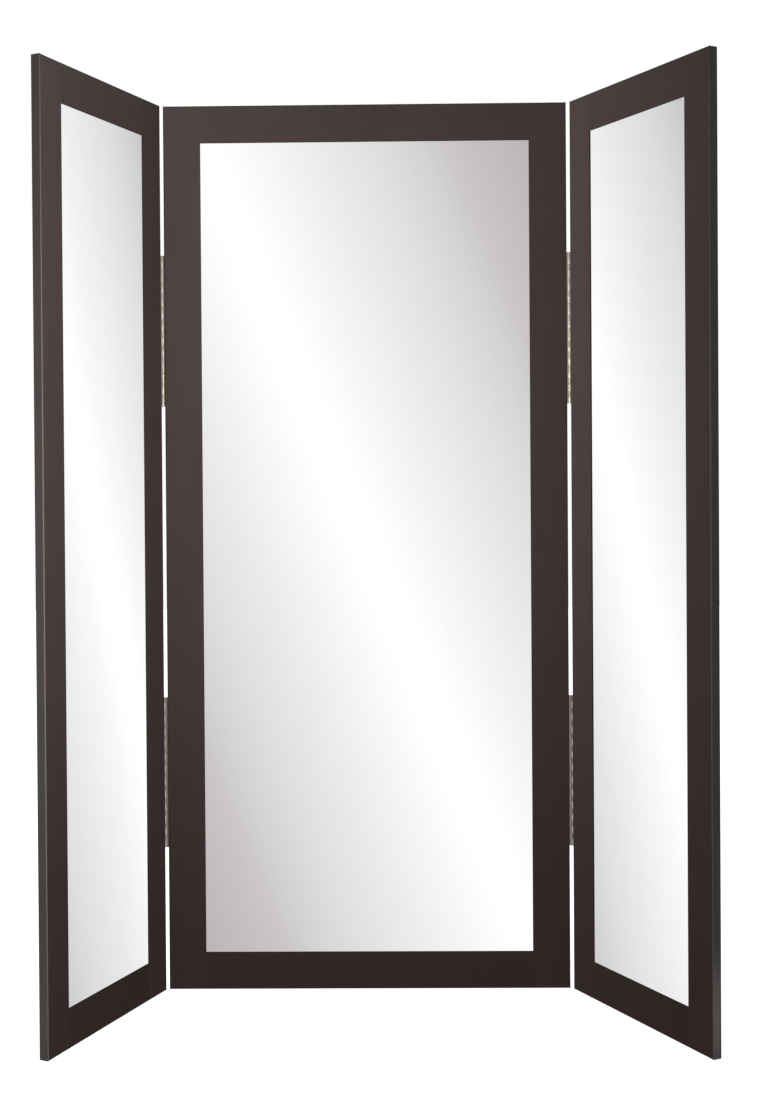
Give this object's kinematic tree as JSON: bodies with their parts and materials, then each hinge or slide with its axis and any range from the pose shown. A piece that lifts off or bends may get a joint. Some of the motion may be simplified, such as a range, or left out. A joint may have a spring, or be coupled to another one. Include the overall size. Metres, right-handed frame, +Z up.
{
  "type": "trifold dressing mirror",
  "caption": "Free-standing dressing mirror: a wide framed centre panel with narrow framed wings that swing on piano hinges at its sides.",
  "frame": {"origin": "middle of the centre panel's underside, halfway through its thickness", "axes": "+Z up; +X along the centre panel's width, to the viewer's right; -Y towards the viewer, the way the mirrors face"},
  "size_m": [1.2128, 0.3862, 1.79],
  "materials": {
    "espresso_frame": "satin espresso laminate on board",
    "edge_band": "greenish black edge banding",
    "mirror_glass": "silvered float glass",
    "hardboard": "plain brown hardboard",
    "dowel_wood": "bare beech",
    "hinge_nickel": "satin nickel plate",
    "screw_nickel": "satin nickel plate",
    "screw_steel": "zinc-plated steel"
  },
  "bodies": {
    "centre_panel": {"centre_left_stile": "espresso_frame", "centre_left_band": "edge_band", "centre_right_stile": "espresso_frame", "centre_right_band": "edge_band", "centre_top_rail": "espresso_frame", "centre_top_band": "edge_band", "centre_bottom_rail": "espresso_frame", "centre_bottom_band": "edge_band", "centre_dowels": "dowel_wood", "centre_mirror": "mirror_glass", "centre_backing_board": "hardboard", "centre_backing_screws": "screw_steel", "left_lower_hinge_centre_leaf": "hinge_nickel", "left_lower_hinge_pin": "screw_steel", "left_lower_hinge_centre_screws": "screw_nickel", "left_upper_hinge_centre_leaf": "hinge_nickel", "left_upper_hinge_pin": "screw_steel", "left_upper_hinge_centre_screws": "screw_nickel", "right_lower_hinge_centre_leaf": "hinge_nickel", "right_lower_hinge_pin": "screw_steel", "right_lower_hinge_centre_screws": "screw_nickel", "right_upper_hinge_centre_leaf": "hinge_nickel", "right_upper_hinge_pin": "screw_steel", "right_upper_hinge_centre_screws": "screw_nickel"},
    "left_wing": {"left_wing_outer_stile": "espresso_frame", "left_wing_outer_band": "edge_band", "left_wing_inner_stile": "espresso_frame", "left_wing_inner_band": "edge_band", "left_wing_top_rail": "espresso_frame", "left_wing_top_band": "edge_band", "left_wing_bottom_rail": "espresso_frame", "left_wing_bottom_band": "edge_band", "left_wing_dowels": "dowel_wood", "left_wing_mirror": "mirror_glass", "left_wing_backing_board": "hardboard", "left_wing_backing_screws": "screw_steel", "left_lower_hinge_wing_leaf": "hinge_nickel", "left_lower_hinge_wing_screws": "screw_nickel", "left_upper_hinge_wing_leaf": "hinge_nickel", "left_upper_hinge_wing_screws": "screw_nickel"},
    "right_wing": {"right_wing_inner_stile": "espresso_frame", "right_wing_inner_band": "edge_band", "right_wing_outer_stile": "espresso_frame", "right_wing_outer_band": "edge_band", "right_wing_top_rail": "espresso_frame", "right_wing_top_band": "edge_band", "right_wing_bottom_rail": "espresso_frame", "right_wing_bottom_band": "edge_band", "right_wing_dowels": "dowel_wood", "right_wing_mirror": "mirror_glass", "right_wing_backing_board": "hardboard", "right_wing_backing_screws": "screw_steel", "right_lower_hinge_wing_leaf": "hinge_nickel", "right_lower_hinge_wing_screws": "screw_nickel", "right_upper_hinge_wing_leaf": "hinge_nickel", "right_upper_hinge_wing_screws": "screw_nickel"}
  },
  "joints": [
    {"name": "left_wing_fold", "type": "hinge", "parent": "centre_panel", "child": "left_wing", "pos_m": [-0.4089, -0.012, 0.895], "axis": [0, 0, 1], "range_deg": [-70, 116]},
    {"name": "right_wing_fold", "type": "hinge", "parent": "centre_panel", "child": "right_wing", "pos_m": [0.4089, -0.012, 0.895], "axis": [0, 0, -1], "range_deg": [-70, 116]}
  ]
}
